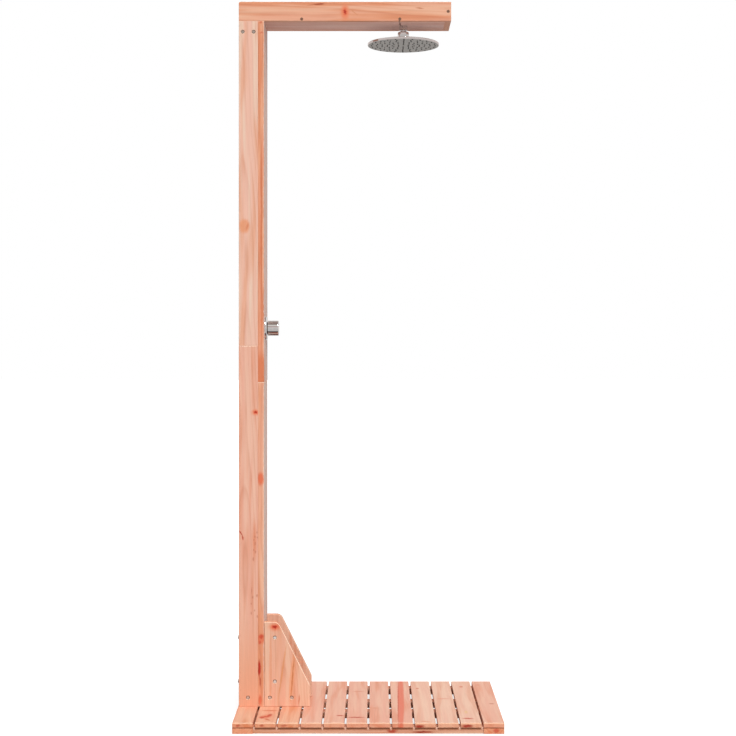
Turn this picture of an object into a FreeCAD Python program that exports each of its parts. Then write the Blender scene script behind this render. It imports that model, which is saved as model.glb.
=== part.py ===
import FreeCAD, Part
import math
import os

Vector = FreeCAD.Vector
Rotation = FreeCAD.Rotation

# Outdoor shower post: a slatted deck, a post of three boards open at the back, an arm of two side
# boards and a floor, two gusset plates at the foot, and a cold water pipe in the open channel.
# Millimetres. +X is the front, where the user stands. +Z is up. The plane Y = 0 halves the shower.
# The left side is at -Y, which is the left hand of a user who faces the post.
# The origin is on the ground, in the middle of everything seen from above.

# ---- Deck ----
slat_count = 12
slat_width = 55.5
slat_gap = 6.0
slat_length = 500.0
slat_thickness = 12.5
slat_edge = 0.8             # rounding of the slats' and battens' edges
underframe_height = 17.5
batten_width = 38.0
batten_recess = 5.0         # the outer battens stand back from the slats' ends
end_board_recess = 1.5      # and the end boards a little

# ---- Post ----
board_thickness = 17.0
board_edge = 1.0            # rounding of the boards' edges
side_board_width = 54.0
post_setback = 2.0          # the post stands in from the deck's back edge
post_width = 137.0
long_board = 1014.0
short_board = 911.5

# ---- Arm ----
arm_length = 596.5
arm_side_height = 54.0
arm_floor_thickness = 11.0
arm_end_thickness = 17.0
arm_corner_radius = 4.5     # rounding of the arm's upper back corner

# ---- Gusset plates ----
gusset_length = 128.5
gusset_height = 238.0
gusset_top = 39.5
gusset_toe = 60.5
gusset_edge = 2.0           # rounding of the plates' edges
shoulder_radius = 20.0
toe_radius = 15.0

# ---- Bolts with barrel nuts ----
bolt_radius = 3.0
bolt_hole_clearance = 0.5
bolt_head_radius = 5.25
bolt_head_height = 2.6
bolt_head_flat_radius = 3.1
bolt_head_edge = 1.2        # straight height of the head's side
head_dome_turn = 50.0       # degrees that the domed edge of a bolt or screw head turns
bolt_key_width = 4.0
bolt_key_depth = 1.7
bolt_overrun = 1.5          # the bolt's tip past the barrel nut's wall
base_bolt_sink = 3.5        # the heads under the deck lie this deep
base_bolt_sink_radius = 8.0
barrel_radius = 5.0
barrel_length = 14.0
barrel_slot_width = 1.2
barrel_slot_depth = 1.0
barrel_chamfer = 1.2
barrel_mouth_chamfer = 0.8  # of the hole's rim in the wood
barrel_clearance = 0.05
thread_clearance = 0.05
barrel_setback = 30.4       # from the joint's face to the barrel nut's axis
base_barrel_height = 25.5   # above the slats
bolted_slats = 3            # one bolt comes up through each of these on each side
gusset_bolt_heights = (70.5, 194.0)
arm_bolt_inset = 11.2
arm_bolt_spacing = 30.6

# ---- Wood screws ----
screw_radius = 2.1
screw_head_radius = 4.3
screw_head_depth = 2.4
screw_sink = 0.3
screw_clearance = 0.05
screw_recess = 1.2          # depth of the cross recess
screw_recess_span = 3.6
screw_recess_width = 0.8
slat_screw_bite = 8.5       # length inside the slat
board_screw_length = 40.0
upper_front_screw_end = 80.0
front_screw_pitch = 305.0
upper_front_screw_rows = 4
lower_front_screw_end = 46.0
lower_front_screw_foot = 375.8
lower_front_screw_rows = 2
arm_floor_screw_inset = 122.7
arm_floor_screw_spacing = 275.4

# ---- Pan head screws ----
pan_radius = 1.75
pan_head_radius = 3.5
pan_head_height = 1.8
pan_head_flat_radius = 2.1
pan_head_edge = 0.7
pan_recess = 0.9
pan_length = 13.0

# ---- Joint plates inside the post ----
joint_plate_length = 96.0
joint_plate_width = 36.0
joint_plate_thickness = 2.0
joint_plate_screw_inset = 14.0
joint_plate_screw_edge = 7.0

# ---- Pipe and fittings ----
pipe_radius = 7.5
pipe_wall = 1.0
pipe_clearance = 0.05
fitting_radius = 12.0
fitting_reach = 24.0        # from an elbow's centre to its mouth
socket_depth = 16.0
waterway_radius = 6.0
nut_across_flats = 26.0
nut_length = 14.0
nut_chamfer = 2.0
flange_radius = 24.0
flange_thickness = 4.0
flange_screw_circle = 18.0
flange_screws = 3
inlet_height = 150.0
inlet_thread_radius = 13.2
inlet_thread_length = 10.0
inlet_recess = 4.0          # the inlet's mouth lies inside the post's back by this much
inlet_bore = 8.0
arm_pipe_rise = 21.5        # the pipe's axis above the arm's floor
head_reach = 463.5          # from the post's back to the shower head's axis

# ---- Pipe clips ----
clip_width = 14.0
clip_base_length = 44.0
clip_base_thickness = 4.0
clip_stem_thickness = 8.0
clip_ring_wall = 3.0
clip_mouth = 11.0
clip_screw_span = 32.0
riser_clip_heights = (330.0, 760.0, 1330.0, 1760.0)
arm_clip_reach = 245.0

# ---- Valve ----
valve_height = 1093.5
valve_barrel_radius = 13.5
valve_barrel_reach = 30.0
valve_neck_radius = 14.0
valve_shoulder = 3.0        # step round the neck that bears on the front board
valve_neck_clearance = 0.5
valve_neck_proud = 3.5
lock_nut_across_flats = 36.0
lock_nut_thickness = 3.5
cartridge_radius = 11.0
cartridge_clearance = 0.05
cartridge_back = 14.0       # from the pipe's axis to the cartridge's inner end
cartridge_proud = 13.0      # past the front board
cartridge_floor = 2.0
chamber_length = 10.0
valve_web = 6.0             # wall between the inlet and the outlet passage
port_radius = 2.2
port_offset = 5.0
spindle_radius = 4.0
spindle_clearance = 0.06
spindle_foot_radius = 8.0
spindle_foot_thickness = 4.0
spindle_chamber_clearance = 0.3
spindle_slot_width = 5.0
escutcheon_radius = 34.5
escutcheon_height = 5.5
escutcheon_wall = 1.2
escutcheon_fit = 0.1
knob_radius = 21.5
knob_length = 31.0
knob_gap = 1.0
knob_wall = 2.5
knob_end = 5.0
knob_edge = 3.0
knob_chamfer = 0.8
knob_line_start = 7.4       # from the knob's axis
knob_line_width = 1.2
knob_line_depth = 0.5
knob_hub_radius = 8.5
knob_hub_gap = 1.5
grub_radius = 2.0
grub_clearance = 0.05
grub_key_width = 2.0
grub_key_depth = 1.5
grub_setback = 8.0          # from the hub's back face to the grub screw's axis

# ---- Ball joint ----
ball_drop = 26.5            # the ball's centre below the arm
ball_radius = 10.0
ball_stem_radius = 7.0
ball_bore = 4.0
ball_nut_radius = 11.4
ball_nut_height = 14.0
ball_nut_chamfer = 1.0
nipple_radius = 10.4
nipple_length = 11.0        # below the arm
nipple_end_gap = 0.3
nipple_hole_clearance = 0.6
ball_gap = 0.3
seat_ring_thickness = 1.5
seat_ring_low = 2.8
seat_ring_high = 6.0
collar_radius = 16.0
collar_top = 9.0            # heights here are above the ball's centre
collar_bottom = -8.0
collar_mouth = 9.6
collar_shoulder = -0.5
collar_rounding = 4.0
collar_taper = 1.5
neck_radius = 13.0
neck_clearance = 0.05
neck_bore = 8.5
neck_top_gap = 0.2
seal_radius = 11.5
seal_top = -2.0
seal_bottom = -7.0

# ---- Shower head ----
head_radius = 101.5
head_drop = 29.5            # the spray face below the ball's centre
rim_height = 6.0
rim_rounding = 1.5
head_wall = 1.5
dome_height = 16.0          # above the spray face, beside the neck
dome_turn = 8.5             # degrees that the dome's slope turns
neck_fillet = 5.0
face_thickness = 2.0
face_sink = 0.4
face_clearance = 0.05
face_ledge = 3.5
nozzle_radius = 2.1
nozzle_tip_radius = 1.4
nozzle_length = 1.6
nozzle_flange_radius = 3.0
nozzle_flange_thickness = 0.8
nozzle_bore = 0.6
nozzle_clearance = 0.05
nozzle_first_ring = 16.0
nozzle_ring_pitch = 15.0
nozzle_ring_counts = (6, 12, 18, 18, 24, 24)

# ---- Places worked out from the sizes above ----
deck_length = slat_count * slat_width + (slat_count - 1) * slat_gap
slat_pitch = slat_width + slat_gap
bolt_overhang = max(0.0, bolt_head_height - post_setback)
back_x = -(deck_length - bolt_overhang) / 2
post_back_x = back_x + post_setback
deck_top = underframe_height + slat_thickness
post_top = deck_top + long_board + short_board
arm_top = post_top + arm_side_height
channel_front_x = post_back_x + side_board_width
post_front_x = channel_front_x + board_thickness
side_y = (post_width - board_thickness) / 2
channel_y = post_width / 2 - board_thickness
pipe_x = post_back_x + side_board_width / 2
arm_floor_top = post_top + arm_floor_thickness
arm_pipe_z = arm_floor_top + arm_pipe_rise
arm_end_x = post_back_x + arm_length
head_x = post_back_x + head_reach
ball_z = post_top - ball_drop
UP, DOWN = Vector(0, 0, 1), Vector(0, 0, -1)
FORWARD, BACK = Vector(1, 0, 0), Vector(-1, 0, 0)
SIDES = (("left", -1), ("right", 1))


def slat_x(index):
    """Middle of a slat, where slat 1 lies under the post."""
    return back_x + slat_width / 2 + (index - 1) * slat_pitch


# ---- Helpers ----
def block(x_span, y_span, z_span):
    low = Vector(x_span[0], y_span[0], z_span[0])
    return Part.makeBox(x_span[1] - x_span[0], y_span[1] - y_span[0], z_span[1] - z_span[0], low)


def board(x_span, y_span, z_span, rounding=board_edge):
    plain = block(x_span, y_span, z_span)
    return plain.makeFillet(rounding, plain.Edges)


def mirrored_span(side, inner, outer):
    """The span in Y of a piece on one side of the middle plane."""
    return tuple(sorted((side * inner, side * outer)))


def placed(shape, base, direction):
    """A copy of a shape modelled along +Z from the origin, turned and moved to its place."""
    copy = shape.copy()
    copy.Placement = FreeCAD.Placement(base, Rotation(UP, direction)).multiply(copy.Placement)
    return copy


def rod(radius, base, direction, length):
    return Part.makeCylinder(radius, length, base, direction)


def arc_middle(start, end, turn):
    """The middle of the arc between two points on which the heading turns left by some degrees."""
    run, rise = end[0] - start[0], end[1] - start[1]
    bulge = math.tan(math.radians(turn / 4)) / 2
    return ((start[0] + end[0]) / 2 + rise * bulge, (start[1] + end[1]) / 2 - run * bulge)


def outline_face(start, steps):
    """A face in the XZ plane. A step is the next point, or that point and the turn of an arc to it."""
    def point(pair):
        return Vector(pair[0], 0, pair[1])
    edges = []
    here = start
    for step in list(steps) + [start]:
        end, turn = step if isinstance(step[0], tuple) else (step, 0)
        if turn:
            middle = point(arc_middle(here, end, turn))
            edges.append(Part.Arc(point(here), middle, point(end)).toShape())
        elif end != here:
            edges.append(Part.LineSegment(point(here), point(end)).toShape())
        here = end
    return Part.Face(Part.Wire(edges))


def turned(start, steps):
    """A turned piece from its half section of (radius, height) points, about the Z axis."""
    return outline_face(start, steps).revolve(Vector(0, 0, 0), UP, 360)


def hexagon(across_flats, length):
    corner = across_flats / math.sqrt(3)
    points = [Vector(corner * math.cos(math.radians(60 * i)), corner * math.sin(math.radians(60 * i)), 0)
              for i in range(7)]
    return Part.Face(Part.makePolygon(points)).extrude(Vector(0, 0, length))


def tidy(shape):
    """The one solid of a result, or a compound of its separate solids."""
    solids = shape.Solids
    return solids[0] if len(solids) == 1 else Part.makeCompound(solids)


def drilled(shape, holes):
    return tidy(shape.cut(holes)) if holes else shape


def group(shapes):
    return Part.makeCompound([solid for shape in shapes for solid in shape.Solids])


def tube(radius, wall, base, direction, length):
    return tidy(rod(radius, base, direction, length).cut(rod(radius - wall, base, direction, length)))


# ---- Fasteners ----
def domed_head(radius, flat_radius, height, edge):
    """A round head that stands on its seat at height 0, with its top at the minus height."""
    return turned((0, -height), [(flat_radius, -height), ((radius, -edge), head_dome_turn),
                                 (radius, 0), (0, 0)])


def bolt(length):
    """A button head bolt: its head stands on the seat at height 0, its shank goes up from there."""
    head = domed_head(bolt_head_radius, bolt_head_flat_radius, bolt_head_height, bolt_head_edge)
    key = hexagon(bolt_key_width, bolt_key_depth)
    key.translate(Vector(0, 0, -bolt_head_height))
    return tidy(head.fuse(rod(bolt_radius, Vector(), UP, length)).cut(key))


def bolt_length(seat_to_barrel):
    return seat_to_barrel + barrel_radius + bolt_overrun


def bolt_hole(seat, direction, seat_to_barrel):
    """The hole runs from the seat to a little past the bolt's tip."""
    radius = bolt_radius + bolt_hole_clearance
    return rod(radius, seat, direction, bolt_length(seat_to_barrel) + bolt_hole_clearance)


def barrel_nut():
    """A barrel nut along +Z, its slotted end at height 0, with the bolt's thread across it along X."""
    body = turned((0, 0), [(barrel_radius - barrel_chamfer, 0), (barrel_radius, barrel_chamfer),
                           (barrel_radius, barrel_length), (0, barrel_length)])
    thread = rod(bolt_radius + thread_clearance, Vector(-2 * barrel_radius, 0, board_thickness / 2),
                 FORWARD, 4 * barrel_radius)
    slot = block((-barrel_radius, barrel_radius), (-barrel_slot_width / 2, barrel_slot_width / 2),
                 (0, barrel_slot_depth))
    return tidy(body.cut([thread, slot]))


def barrel_places():
    """Each barrel nut's centre on the outer face, its side, and the direction of its bolt."""
    places = []
    for name, side in SIDES:
        y = side * post_width / 2
        for x in base_bolt_x():
            places.append((Vector(x, y, deck_top + base_barrel_height), side, UP))
        for height in gusset_bolt_heights:
            places.append((Vector(post_front_x + barrel_setback, y, deck_top + height), side, FORWARD))
        for x in arm_bolt_x():
            places.append((Vector(x, y, post_top - barrel_setback), side, UP))
    return places


def base_bolt_x():
    return [slat_x(index) for index in range(1, bolted_slats + 1)]


def arm_bolt_x():
    first = post_back_x + arm_bolt_inset
    return [first, first + arm_bolt_spacing]


def barrel_nuts():
    nuts = []
    for centre, side, bolt_direction in barrel_places():
        nut = barrel_nut()
        if bolt_direction == UP:
            nut.rotate(Vector(), UP, 90)
        nut.rotate(Vector(), FORWARD, 90 * side)
        nut.translate(centre)
        nuts.append(nut)
    return group(nuts)


def barrel_holes():
    depth = barrel_length + barrel_clearance
    radius = barrel_radius + barrel_clearance
    rim = radius + barrel_mouth_chamfer
    holes = []
    for centre, side, _ in barrel_places():
        inward = Vector(0, -side, 0)
        holes.append(rod(radius, centre, inward, depth))
        holes.append(Part.makeCone(rim, radius, barrel_mouth_chamfer, centre, inward))
    return holes


def base_bolt_seats():
    return [Vector(x, side * side_y, base_bolt_sink) for _, side in SIDES for x in base_bolt_x()]


def gusset_bolt_seats():
    return [Vector(post_back_x, side * side_y, deck_top + height)
            for _, side in SIDES for height in gusset_bolt_heights]


def arm_bolt_seats():
    return [Vector(x, side * side_y, arm_top) for _, side in SIDES for x in arm_bolt_x()]


base_bolt_run = deck_top + base_barrel_height - base_bolt_sink
gusset_bolt_run = post_front_x - post_back_x + barrel_setback
arm_bolt_run = arm_side_height + barrel_setback


def bolt_holes():
    holes = barrel_holes()
    for seat in base_bolt_seats():
        holes.append(bolt_hole(seat, UP, base_bolt_run))
        holes.append(rod(base_bolt_sink_radius, seat, DOWN, base_bolt_sink))
    for seat in gusset_bolt_seats():
        holes.append(bolt_hole(seat, FORWARD, gusset_bolt_run))
    for seat in arm_bolt_seats():
        holes.append(bolt_hole(seat, DOWN, arm_bolt_run))
    return holes


def wood_screw(length, clearance=0.0):
    """A countersunk screw along +Z with its head's face at height 0. With a clearance, its hole."""
    tip = length + clearance
    shank, head = screw_radius + clearance, screw_head_radius + clearance
    body = turned((0, 0), [(head, 0), (shank, screw_head_depth), (shank, tip), (0, tip)])
    if clearance:
        sink = rod(head, Vector(0, 0, -screw_sink), UP, screw_sink)
        return tidy(body.fuse(sink))
    half, slot = screw_recess_span / 2, screw_recess_width / 2
    cross = block((-half, half), (-slot, slot), (0, screw_recess))
    cross = cross.fuse(block((-slot, slot), (-half, half), (0, screw_recess)))
    return tidy(body.cut(cross))


def pan_screw(clearance=0.0):
    """A pan head screw along +Z whose head stands on the seat at height 0."""
    if clearance:
        return rod(pan_radius + clearance, Vector(), UP, pan_length + clearance)
    head = domed_head(pan_head_radius, pan_head_flat_radius, pan_head_height, pan_head_edge)
    half, slot = pan_radius, screw_recess_width / 2
    z_span = (-pan_head_height, pan_recess - pan_head_height)
    cross = block((-half, half), (-slot, slot), z_span)
    cross = cross.fuse(block((-slot, slot), (-half, half), z_span))
    return tidy(head.fuse(rod(pan_radius, Vector(), UP, pan_length)).cut(cross))


# ---- Deck ----
def batten_rows():
    """Name and middle line in Y of the four battens under the slats."""
    outer = slat_length / 2 - batten_recess - batten_width / 2
    return [("batten_outer_left", -outer), ("batten_inner_left", -side_y),
            ("batten_inner_right", side_y), ("batten_outer_right", outer)]


def slat_screw_places():
    return [Vector(slat_x(index), y, screw_sink)
            for index in range(1, slat_count + 1) for _, y in batten_rows()
            if index > bolted_slats or abs(y) != side_y]


def slat_screws():
    screw = wood_screw(underframe_height - screw_sink + slat_screw_bite)
    return group([placed(screw, place, UP) for place in slat_screw_places()])


def slat_screw_holes():
    hole = wood_screw(underframe_height - screw_sink + slat_screw_bite, screw_clearance)
    return [placed(hole, place, UP) for place in slat_screw_places()]


def near(shape, holes):
    """The holes whose boxes meet the shape's box."""
    box = shape.BoundBox
    return [hole for hole in holes if box.intersect(hole.BoundBox)]


def make_deck(parts, holes):
    y_span = (-slat_length / 2, slat_length / 2)
    for index in range(1, slat_count + 1):
        x_span = (slat_x(index) - slat_width / 2, slat_x(index) + slat_width / 2)
        slat = board(x_span, y_span, (underframe_height, deck_top), slat_edge)
        parts["slat_%02d" % index] = drilled(slat, near(slat, holes))
    end_y = slat_length / 2 - end_board_recess
    for name, index in (("end_board_back", 1), ("end_board_front", slat_count)):
        x_span = (slat_x(index) - slat_width / 2, slat_x(index) + slat_width / 2)
        end = board(x_span, (-end_y, end_y), (0, underframe_height), slat_edge)
        parts[name] = drilled(end, near(end, holes))
    inner_x = (back_x + slat_width, back_x + deck_length - slat_width)
    for name, y in batten_rows():
        batten = board(inner_x, (y - batten_width / 2, y + batten_width / 2), (0, underframe_height),
                       slat_edge)
        parts[name] = drilled(batten, near(batten, holes))


# ---- Post ----
def front_screw_heights():
    upper = [post_top - upper_front_screw_end - row * front_screw_pitch
             for row in range(upper_front_screw_rows)]
    lower = [deck_top + lower_front_screw_foot + row * front_screw_pitch
             for row in range(lower_front_screw_rows)]
    return upper + lower + [deck_top + short_board - lower_front_screw_end]


def arm_floor_screw_x():
    first = channel_front_x + arm_floor_screw_inset
    return [first, first + arm_floor_screw_spacing]


def board_screw_places():
    """Place of each head's face and the direction of its tip."""
    places = [(Vector(post_front_x - screw_sink, side * side_y, z), BACK)
              for _, side in SIDES for z in front_screw_heights()]
    for _, side in SIDES:
        y = side * (post_width / 2 - screw_sink)
        inward = Vector(0, -side, 0)
        for x in arm_floor_screw_x():
            places.append((Vector(x, y, post_top + arm_floor_thickness / 2), inward))
        places.append((Vector(arm_end_x - arm_end_thickness / 2, y, post_top + arm_side_height / 2),
                       inward))
    return places


def board_screws():
    screw = wood_screw(board_screw_length)
    return group([placed(screw, place, direction) for place, direction in board_screw_places()])


def board_screw_holes():
    hole = wood_screw(board_screw_length, screw_clearance)
    return [placed(hole, place, direction) for place, direction in board_screw_places()]


def joint_plate_screw_places():
    """Seats of the screws that hold the joint plates to the side boards."""
    places = []
    reach = joint_plate_length / 2 - joint_plate_screw_inset
    half_width = joint_plate_width / 2 - joint_plate_screw_edge
    for _, side in SIDES:
        y = side * (channel_y - joint_plate_thickness)
        for dz in (-reach, reach):
            for dx in (-half_width, half_width):
                place = Vector(pipe_x + dx, y, deck_top + long_board + dz)
                places.append((place, Vector(0, side, 0)))
    return places


def joint_plates(holes):
    plates = []
    z = deck_top + long_board
    for _, side in SIDES:
        plate = block((pipe_x - joint_plate_width / 2, pipe_x + joint_plate_width / 2),
                      mirrored_span(side, channel_y - joint_plate_thickness, channel_y),
                      (z - joint_plate_length / 2, z + joint_plate_length / 2))
        plates.append(drilled(plate, near(plate, holes)))
    return group(plates)


def make_post(parts, holes):
    x_span = (post_back_x, channel_front_x)
    lower = (deck_top, deck_top + long_board)
    upper = (deck_top + long_board, post_top)
    for name, side in SIDES:
        y_span = mirrored_span(side, channel_y, post_width / 2)
        for half, z_span in (("lower", lower), ("upper", upper)):
            plank = board(x_span, y_span, z_span)
            parts["post_%s_%s" % (name, half)] = drilled(plank, near(plank, holes))
    x_span = (channel_front_x, post_front_x)
    y_span = (-post_width / 2, post_width / 2)
    neck_hole = rod(valve_neck_radius + valve_neck_clearance, Vector(channel_front_x, 0, valve_height),
                    FORWARD, board_thickness)
    split = deck_top + short_board
    for half, z_span in (("lower", (deck_top, split)), ("upper", (split, post_top))):
        plank = board(x_span, y_span, z_span)
        parts["front_board_" + half] = drilled(plank, near(plank, holes + [neck_hole]))
    parts["joint_plates"] = joint_plates(holes)


# ---- Gusset plates ----
def rounded_corner(corner, before, after, radius):
    """The outline's two steps that round a corner which turns right between its neighbours."""
    c, a, b = (Vector(p[0], 0, p[1]) for p in (corner, before, after))
    to_a, to_b = (a - c).normalize(), (b - c).normalize()
    opening = to_a.getAngle(to_b)
    reach = radius / math.tan(opening / 2)
    start, end = c + to_a * reach, c + to_b * reach
    return [(start.x, start.z), ((end.x, end.z), math.degrees(opening) - 180)]


def side_plate(outline, side, rounding):
    """A board on one side of the middle plane from its outline, with its edges rounded."""
    plate = outline.extrude(Vector(0, board_thickness, 0))
    plate.translate(Vector(0, mirrored_span(side, channel_y, post_width / 2)[0], 0))
    return plate.makeFillet(rounding, plate.Edges)


def gusset(side):
    low_back = (post_front_x, deck_top)
    top_back = (post_front_x, deck_top + gusset_height)
    shoulder = (post_front_x + gusset_top, deck_top + gusset_height)
    toe = (post_front_x + gusset_length, deck_top + gusset_toe)
    low_front = (post_front_x + gusset_length, deck_top)
    steps = [top_back]
    steps += rounded_corner(shoulder, top_back, toe, shoulder_radius)
    steps += rounded_corner(toe, shoulder, low_front, toe_radius)
    return side_plate(outline_face(low_back, steps + [low_front]), side, gusset_edge)


def make_gussets(parts, holes):
    for name, side in SIDES:
        plate = gusset(side)
        parts["gusset_" + name] = drilled(plate, near(plate, holes))


# ---- Arm ----
def arm_side(side):
    low_back, top_back = (post_back_x, post_top), (post_back_x, arm_top)
    top_front, low_front = (arm_end_x, arm_top), (arm_end_x, post_top)
    steps = rounded_corner(top_back, low_back, top_front, arm_corner_radius)
    return side_plate(outline_face(low_back, steps + [top_front, low_front]), side, board_edge)


def make_arm(parts, holes):
    for name, side in SIDES:
        plank = arm_side(side)
        parts["arm_" + name] = drilled(plank, near(plank, holes))
    inner_y = (-channel_y, channel_y)
    floor_end = arm_end_x - arm_end_thickness
    floor = board((channel_front_x, floor_end), inner_y, (post_top, arm_floor_top))
    nipple_hole = rod(nipple_radius + nipple_hole_clearance, Vector(head_x, 0, post_top), UP,
                      arm_floor_thickness)
    parts["arm_floor"] = drilled(floor, near(floor, holes + [nipple_hole]))
    end = board((floor_end, arm_end_x), inner_y, (post_top, arm_top))
    parts["arm_end"] = drilled(end, near(end, holes))


# ---- Pipe and fittings ----
def compression_nut():
    """A hexagon nut along +Z with rounded corners at its free end and the pipe's bore."""
    body = hexagon(nut_across_flats, nut_length)
    corner = nut_across_flats / math.sqrt(3)
    cap = turned((0, 0), [(corner, 0), (corner, nut_length - nut_chamfer),
                          (fitting_radius, nut_length), (0, nut_length)])
    bore = rod(pipe_radius + pipe_clearance, Vector(), UP, nut_length)
    return tidy(body.common(cap).cut(bore))


def nut_places():
    """Mouth of each pipe socket and the direction in which the pipe leaves it."""
    return [(Vector(pipe_x, 0, inlet_height + fitting_reach), UP),
            (Vector(pipe_x, 0, valve_height - valve_barrel_reach), DOWN),
            (Vector(pipe_x, 0, valve_height + valve_barrel_reach), UP),
            (Vector(pipe_x, 0, arm_pipe_z - fitting_reach), DOWN),
            (Vector(pipe_x + fitting_reach, 0, arm_pipe_z), FORWARD),
            (Vector(head_x - fitting_reach, 0, arm_pipe_z), BACK)]


def compression_nuts():
    nut = compression_nut()
    return group([placed(nut, place, direction) for place, direction in nut_places()])


def branch(centre, direction):
    """The outside of an elbow's arm."""
    return rod(fitting_radius, centre, direction, fitting_reach)


def socket(mouth, outward):
    """The bore that takes the pipe's end, from its mouth inwards."""
    return rod(pipe_radius + pipe_clearance, mouth - outward * socket_depth, outward, socket_depth)


def flange(centre, direction):
    """A round flange whose back lies at the centre point, with its screw holes."""
    disc = rod(flange_radius, centre, direction, flange_thickness)
    holes = [rod(pan_radius + screw_clearance, place, direction, flange_thickness)
             for place in flange_screw_ring(centre, direction)]
    return disc.cut(holes)


def flange_screw_ring(centre, direction):
    ring = []
    for i in range(flange_screws):
        angle = math.radians(90 + 360 / flange_screws * i)
        local = Vector(flange_screw_circle * math.cos(angle), flange_screw_circle * math.sin(angle), 0)
        ring.append(centre + Rotation(UP, direction).multVec(local))
    return ring


def inlet_elbow():
    """Screwed to the front board's inner face, with the hose thread at the post's open back."""
    centre = Vector(pipe_x, 0, inlet_height)
    wall = Vector(channel_front_x, 0, inlet_height)
    mouth = Vector(post_back_x + inlet_recess, 0, inlet_height)
    body = flange(wall, BACK)
    body = body.fuse([
        rod(fitting_radius, wall, BACK, channel_front_x - mouth.x),
        branch(centre, UP),
        rod(inlet_thread_radius, mouth, FORWARD, inlet_thread_length)])
    pipe_mouth = centre + UP * fitting_reach
    body = body.cut([socket(pipe_mouth, UP),
                     rod(waterway_radius, centre, UP, fitting_reach),
                     rod(waterway_radius, centre, BACK, pipe_x - mouth.x),
                     rod(inlet_bore, mouth, FORWARD, inlet_thread_length)])
    return tidy(body.removeSplitter())


def corner_elbow():
    centre = Vector(pipe_x, 0, arm_pipe_z)
    body = Part.makeSphere(fitting_radius, centre).fuse([
        branch(centre, DOWN), branch(centre, FORWARD)])
    body = body.cut([socket(centre + DOWN * fitting_reach, DOWN),
                     socket(centre + FORWARD * fitting_reach, FORWARD),
                     rod(waterway_radius, centre, DOWN, fitting_reach),
                     rod(waterway_radius, centre, FORWARD, fitting_reach),
                     Part.makeSphere(waterway_radius, centre)])
    return tidy(body.removeSplitter())


def drop_elbow():
    """Screwed to the arm's floor, with a threaded nipple that goes down through the floor."""
    centre = Vector(head_x, 0, arm_pipe_z)
    floor = Vector(head_x, 0, arm_floor_top)
    body = flange(floor, UP)
    body = body.fuse([
        rod(nipple_radius, centre, DOWN, arm_pipe_rise + arm_floor_thickness + nipple_length),
        Part.makeSphere(fitting_radius, centre),
        branch(centre, BACK)])
    body = body.cut([socket(centre + BACK * fitting_reach, BACK),
                     rod(waterway_radius, centre, BACK, fitting_reach),
                     rod(waterway_radius, centre, DOWN,
                         arm_pipe_rise + arm_floor_thickness + nipple_length)])
    return tidy(body.removeSplitter())


def pipe_between(start, end):
    """A straight pipe whose ends stand at the bottoms of two sockets."""
    run = end - start
    return tube(pipe_radius, pipe_wall, start, run, run.Length)


def make_pipes(parts):
    depth_left = fitting_reach - socket_depth
    valve_left = valve_barrel_reach - socket_depth
    inlet = Vector(pipe_x, 0, inlet_height)
    valve = Vector(pipe_x, 0, valve_height)
    corner = Vector(pipe_x, 0, arm_pipe_z)
    drop = Vector(head_x, 0, arm_pipe_z)
    parts["lower_pipe"] = pipe_between(inlet + UP * depth_left, valve + DOWN * valve_left)
    parts["riser_pipe"] = pipe_between(valve + UP * valve_left, corner + DOWN * depth_left)
    parts["arm_pipe"] = pipe_between(corner + FORWARD * depth_left, drop + BACK * depth_left)
    parts["inlet_elbow"] = inlet_elbow()
    parts["corner_elbow"] = corner_elbow()
    parts["drop_elbow"] = drop_elbow()
    parts["compression_nuts"] = compression_nuts()


def pipe_clip(standoff):
    """A snap clip on the plane Z = 0 that holds a pipe along X at the standoff's height."""
    half = clip_width / 2
    ring_radius = pipe_radius + pipe_clearance + clip_ring_wall
    base = block((-half, half), (-clip_base_length / 2, clip_base_length / 2), (0, clip_base_thickness))
    stem = block((-half, half), (-clip_stem_thickness / 2, clip_stem_thickness / 2), (0, standoff))
    ring = rod(ring_radius, Vector(-half, 0, standoff), FORWARD, clip_width)
    bore = rod(pipe_radius + pipe_clearance, Vector(-half, 0, standoff), FORWARD, clip_width)
    mouth = block((-half, half), (-clip_mouth / 2, clip_mouth / 2), (standoff, standoff + 2 * ring_radius))
    holes = [rod(pan_radius + screw_clearance, Vector(0, y, 0), UP, clip_base_thickness)
             for y in (-clip_screw_span / 2, clip_screw_span / 2)]
    return tidy(base.fuse([stem, ring]).cut([bore, mouth] + holes).removeSplitter())


def clip_places():
    """Foot, standoff and turn about Y of each clip."""
    places = [(Vector(channel_front_x, 0, z), channel_front_x - pipe_x, -90) for z in riser_clip_heights]
    places.append((Vector(post_back_x + arm_clip_reach, 0, arm_floor_top), arm_pipe_rise, 0))
    return places


def pipe_clips():
    clips = []
    for foot, standoff, turn in clip_places():
        clip = pipe_clip(standoff)
        clip.rotate(Vector(), Vector(0, 1, 0), turn)
        clip.translate(foot)
        clips.append(clip)
    return group(clips)


def pan_screw_places():
    """Seat of each pan head screw and the direction of its tip."""
    places = joint_plate_screw_places()
    for foot, _, turn in clip_places():
        inward = FORWARD if turn else DOWN
        for y in (-clip_screw_span / 2, clip_screw_span / 2):
            places.append((foot + Vector(0, y, 0) - inward * clip_base_thickness, inward))
    for wall, out in ((Vector(channel_front_x, 0, inlet_height), BACK),
                      (Vector(head_x, 0, arm_floor_top), UP)):
        for place in flange_screw_ring(wall, out):
            places.append((place + out * flange_thickness, out * -1))
    return places


def pan_screws():
    screw = pan_screw()
    return group([placed(screw, place, direction) for place, direction in pan_screw_places()])


def pan_screw_holes():
    hole = pan_screw(screw_clearance)
    return [placed(hole, place, direction) for place, direction in pan_screw_places()]


# ---- Valve, modelled along +Z from the front board's inner face, then turned to +X ----
def at_valve(shape):
    return placed(shape, Vector(channel_front_x, 0, valve_height), FORWARD)


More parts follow.
